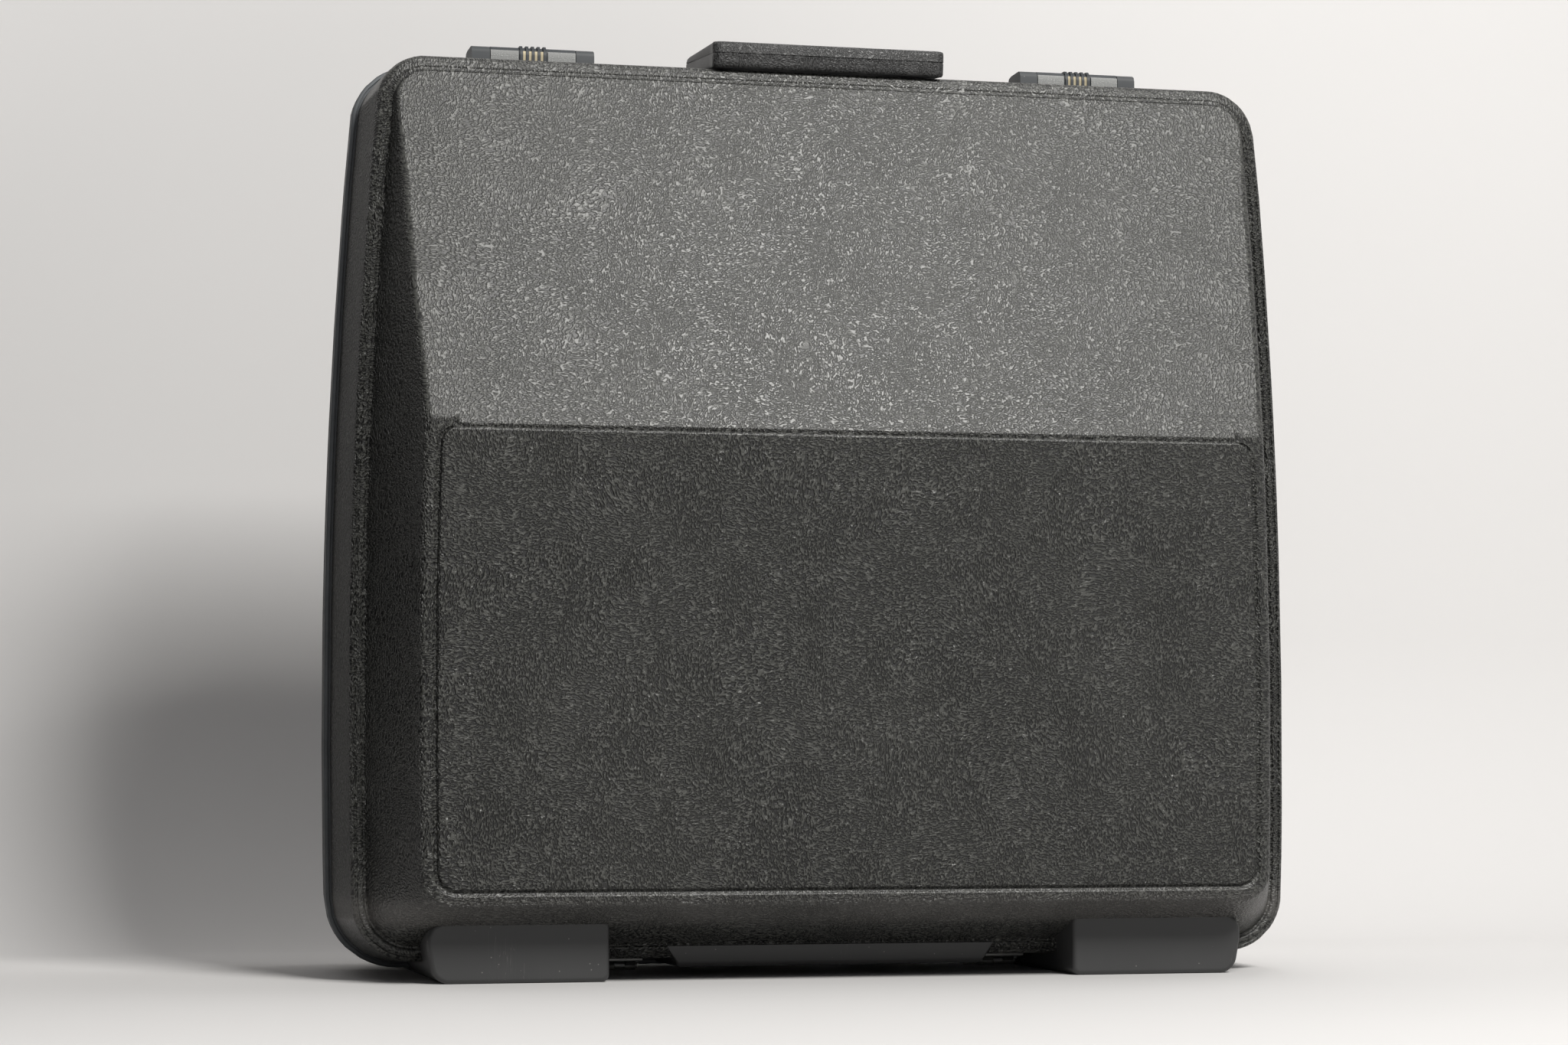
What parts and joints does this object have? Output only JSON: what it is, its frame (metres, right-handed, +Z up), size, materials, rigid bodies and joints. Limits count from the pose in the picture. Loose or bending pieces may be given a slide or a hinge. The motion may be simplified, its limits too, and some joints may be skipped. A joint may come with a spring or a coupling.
{
  "type": "accordion case",
  "caption": "Hard moulded accordion case that stands upright: two hinged halves with a sloping front, draw latches and a folding U-shaped handle.",
  "frame": {"origin": "on the floor, under the middle of the case, in the plane where the two halves meet", "axes": "+X along the case's width to the right, +Y from the sloping front half towards the rear half, +Z up"},
  "size_m": [0.54, 0.2684, 0.5183],
  "materials": {
    "shell_plastic": "vacuum-formed plastic with a coarse leather grain, smooth where the sheet was stretched",
    "rail_metal": "dark grey anodised extrusion with a dull sheen",
    "hardware_steel": "plated steel, slightly dull",
    "handle_plastic": "black plastic with a fine leather grain",
    "latch_plastic": "smooth blue-black plastic",
    "grip_insert": "stippled grey plastic",
    "gold_trim": "thin gold-coloured foil strips",
    "plush_lining": "short plush over foam",
    "block_cover": "plush cover over a foam block"
  },
  "bodies": {
    "front_half": {"front_shell": "shell_plastic", "front_rail": "rail_metal", "hinge_leaf_front": "hardware_steel", "hinge_pins": "hardware_steel", "hinge_rivets_front": "hardware_steel", "handle_brackets": "handle_plastic", "handle_pins": "hardware_steel", "bracket_rivets": "hardware_steel", "latch_base_left": "latch_plastic", "latch_base_right": "latch_plastic", "lever_pins": "hardware_steel", "latch_rivets": "hardware_steel", "front_lining": "plush_lining", "front_block": "block_cover"},
    "rear_half": {"rear_shell": "shell_plastic", "rear_rail": "rail_metal", "hinge_leaf_rear": "hardware_steel", "hinge_rivets_rear": "hardware_steel", "keepers": "hardware_steel", "keeper_rivets": "hardware_steel", "rear_lining": "plush_lining", "rear_block": "block_cover"},
    "carry_handle": {"handle_upper": "handle_plastic", "handle_lower": "handle_plastic", "handle_core": "hardware_steel", "handle_screws": "hardware_steel"},
    "left_lever": {"lever_left": "latch_plastic", "grip_pads_left": "grip_insert", "stripes_left": "gold_trim", "hasp_pins_left": "hardware_steel"},
    "right_lever": {"lever_right": "latch_plastic", "grip_pads_right": "grip_insert", "stripes_right": "gold_trim", "hasp_pins_right": "hardware_steel"},
    "left_hasp": {"hasp_left": "hardware_steel"},
    "right_hasp": {"hasp_right": "hardware_steel"}
  },
  "joints": [
    {"name": "lid_hinge", "type": "hinge", "parent": "front_half", "child": "rear_half", "pos_m": [0, 0, 0.0034], "axis": [-1, 0, 0], "range_deg": [0, 95]},
    {"name": "handle_pivot", "type": "hinge", "parent": "front_half", "child": "carry_handle", "pos_m": [0, -0.0045, 0.5118], "axis": [-1, 0, 0], "range_deg": [0, 97]},
    {"name": "left_lever_pivot", "type": "hinge", "parent": "front_half", "child": "left_lever", "pos_m": [-0.159, -0.0105, 0.5093], "axis": [-1, 0, 0], "range_deg": [0, 100]},
    {"name": "right_lever_pivot", "type": "hinge", "parent": "front_half", "child": "right_lever", "pos_m": [0.159, -0.0105, 0.5093], "axis": [-1, 0, 0], "range_deg": [0, 100]},
    {"name": "left_hasp_pivot", "type": "hinge", "parent": "left_lever", "child": "left_hasp", "pos_m": [-0.159, -0.0155, 0.5059], "axis": [1, 0, 0], "range_deg": [0, 120]},
    {"name": "right_hasp_pivot", "type": "hinge", "parent": "right_lever", "child": "right_hasp", "pos_m": [0.159, -0.0155, 0.5059], "axis": [1, 0, 0], "range_deg": [0, 120]}
  ],
  "couplings": [
    {"joint": "left_hasp_pivot", "follows": "left_lever_pivot", "ratio": 1.2},
    {"joint": "right_hasp_pivot", "follows": "right_lever_pivot", "ratio": 1.2}
  ]
}
